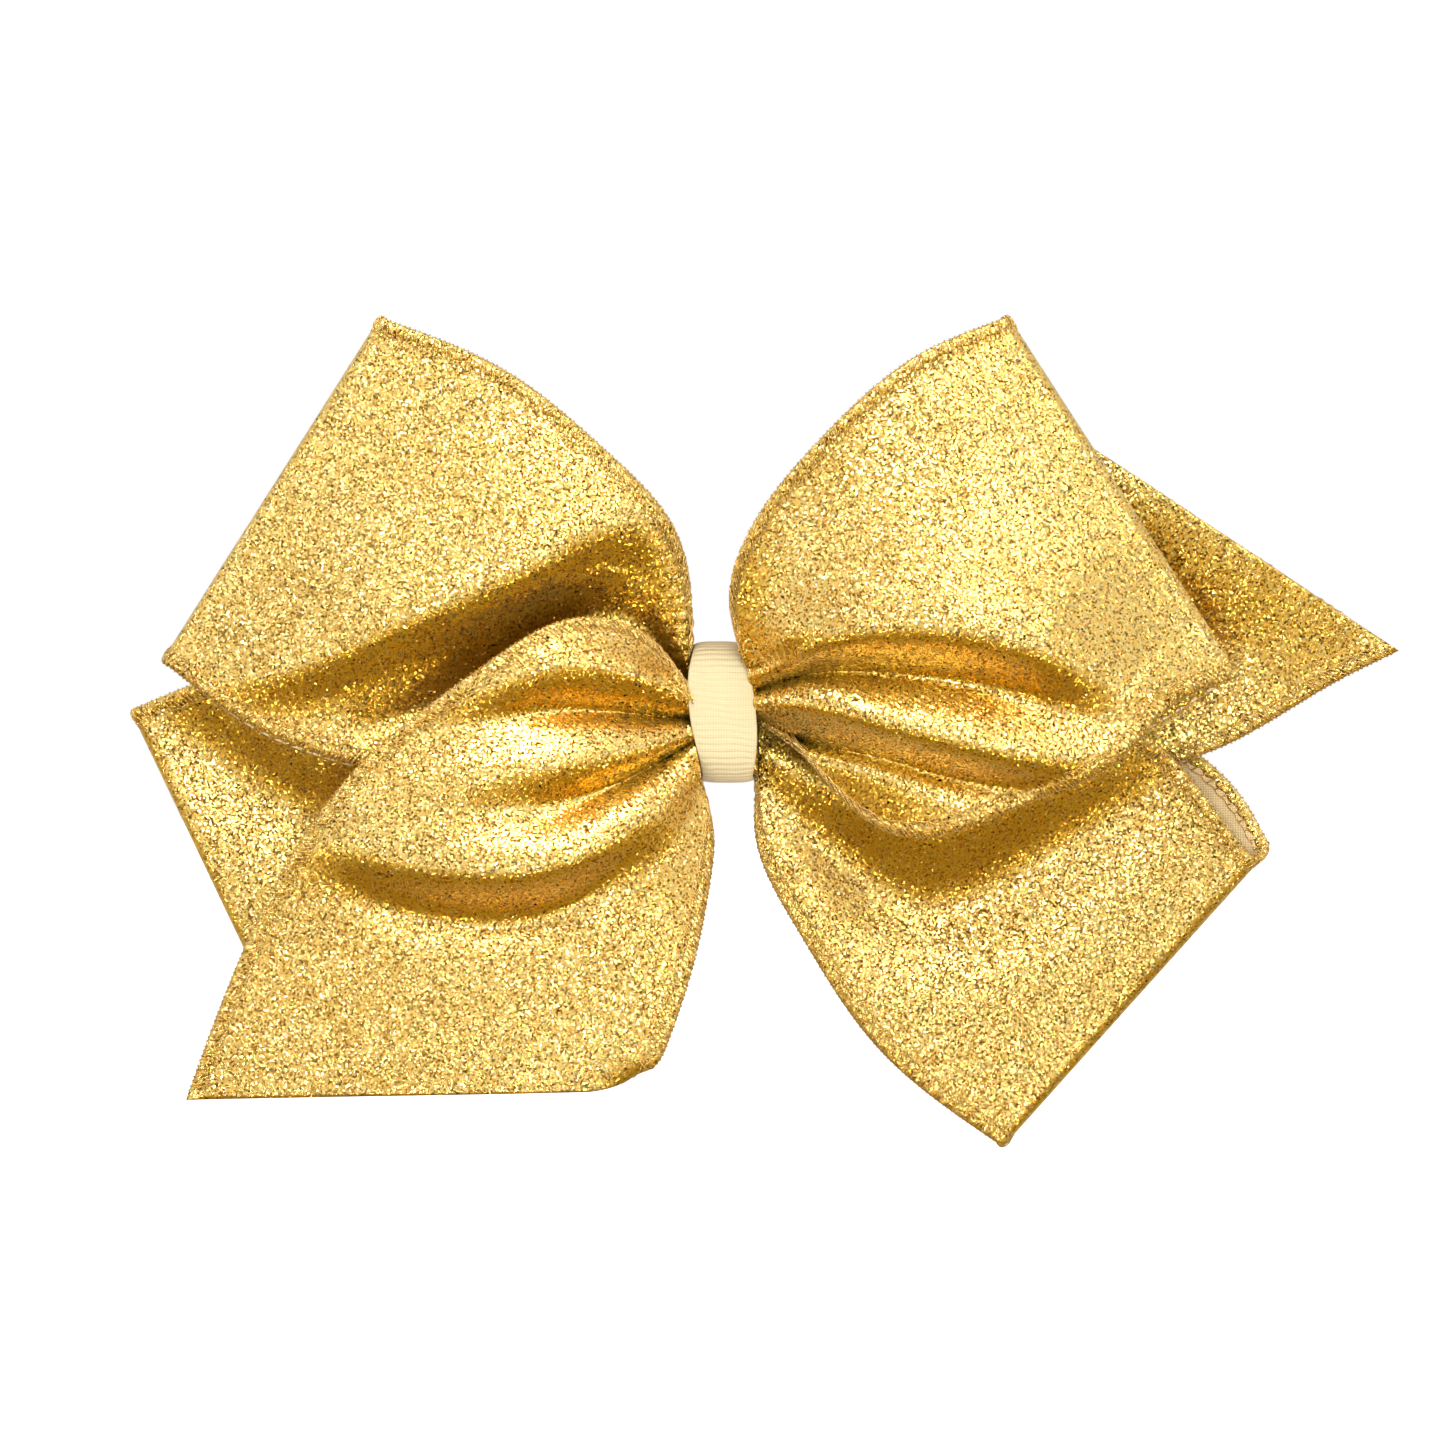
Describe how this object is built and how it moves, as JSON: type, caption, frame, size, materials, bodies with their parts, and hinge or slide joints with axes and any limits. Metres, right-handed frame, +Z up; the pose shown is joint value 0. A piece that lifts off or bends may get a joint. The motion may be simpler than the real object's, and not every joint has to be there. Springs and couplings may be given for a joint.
{
  "type": "cheer hair bow",
  "caption": "Large gold glitter cheer bow: ribbon folded into overlapping loops and tails, overlocked edges, cream grosgrain knot wrap, on a hinged spring barrette.",
  "frame": {"origin": "middle of the barrette's hair gap, behind the centre of the knot", "axes": "upright as worn: +X to the bow's right as seen from the front, +Y back towards the wearer's head, +Z up; the front of the bow faces -Y"},
  "size_m": [0.1816, 0.039, 0.1174],
  "materials": {
    "gold_lame": "glittering gold lame",
    "lining": "matt tan woven lining",
    "gold_thread": "satin gold overlock thread",
    "grosgrain": "matt cream ribbed grosgrain",
    "cream_thread": "matt waxed thread",
    "glue": "hot-melt glue",
    "steel": "nickel-plated spring steel"
  },
  "bodies": {
    "bow": {"front_tail_face": "gold_lame", "front_tail_lining": "lining", "front_tail_edging": "gold_thread", "right_upper_loop_face": "gold_lame", "right_upper_loop_lining": "lining", "right_upper_loop_edging": "gold_thread", "left_upper_loop_face": "gold_lame", "left_upper_loop_lining": "lining", "left_upper_loop_edging": "gold_thread", "right_lower_loop_face": "gold_lame", "right_lower_loop_lining": "lining", "right_lower_loop_edging": "gold_thread", "rear_tail_face": "gold_lame", "rear_tail_lining": "lining", "rear_tail_edging": "gold_thread", "left_lower_loop_face": "gold_lame", "left_lower_loop_lining": "lining", "left_lower_loop_edging": "gold_thread", "ribbon_core": "gold_lame", "cinch_thread": "cream_thread", "knot_wrap": "grosgrain", "glue_pad": "glue", "base_plate": "steel", "hinge_pin": "steel", "clasp_foot": "steel", "clasp_rivet": "steel"},
    "latch_arm": {"latch_arm": "steel"},
    "leaf_spring": {"leaf_spring": "steel"},
    "clasp_prong_upper": {"clasp_prong_upper": "steel"},
    "clasp_prong_lower": {"clasp_prong_lower": "steel"}
  },
  "joints": [
    {"name": "latch_arm_hinge", "type": "hinge", "parent": "bow", "child": "latch_arm", "pos_m": [0.037, 0, 0], "axis": [0, 0, -1], "range_deg": [0, 80]},
    {"name": "leaf_spring_flex", "type": "hinge", "parent": "bow", "child": "leaf_spring", "pos_m": [0.037, 0, 0], "axis": [0, 0, 1], "range_deg": [0, 1.8], "stiffness_Nm_per_rad": 0.5},
    {"name": "prong_pinch_upper", "type": "hinge", "parent": "bow", "child": "clasp_prong_upper", "pos_m": [-0.036, -0.0037, 0.0018], "axis": [-1, 0, 0], "range_deg": [0, 5], "stiffness_Nm_per_rad": 0.3},
    {"name": "prong_pinch_lower", "type": "hinge", "parent": "bow", "child": "clasp_prong_lower", "pos_m": [-0.036, -0.0037, -0.0018], "axis": [1, 0, 0], "range_deg": [0, 5], "stiffness_Nm_per_rad": 0.3}
  ]
}
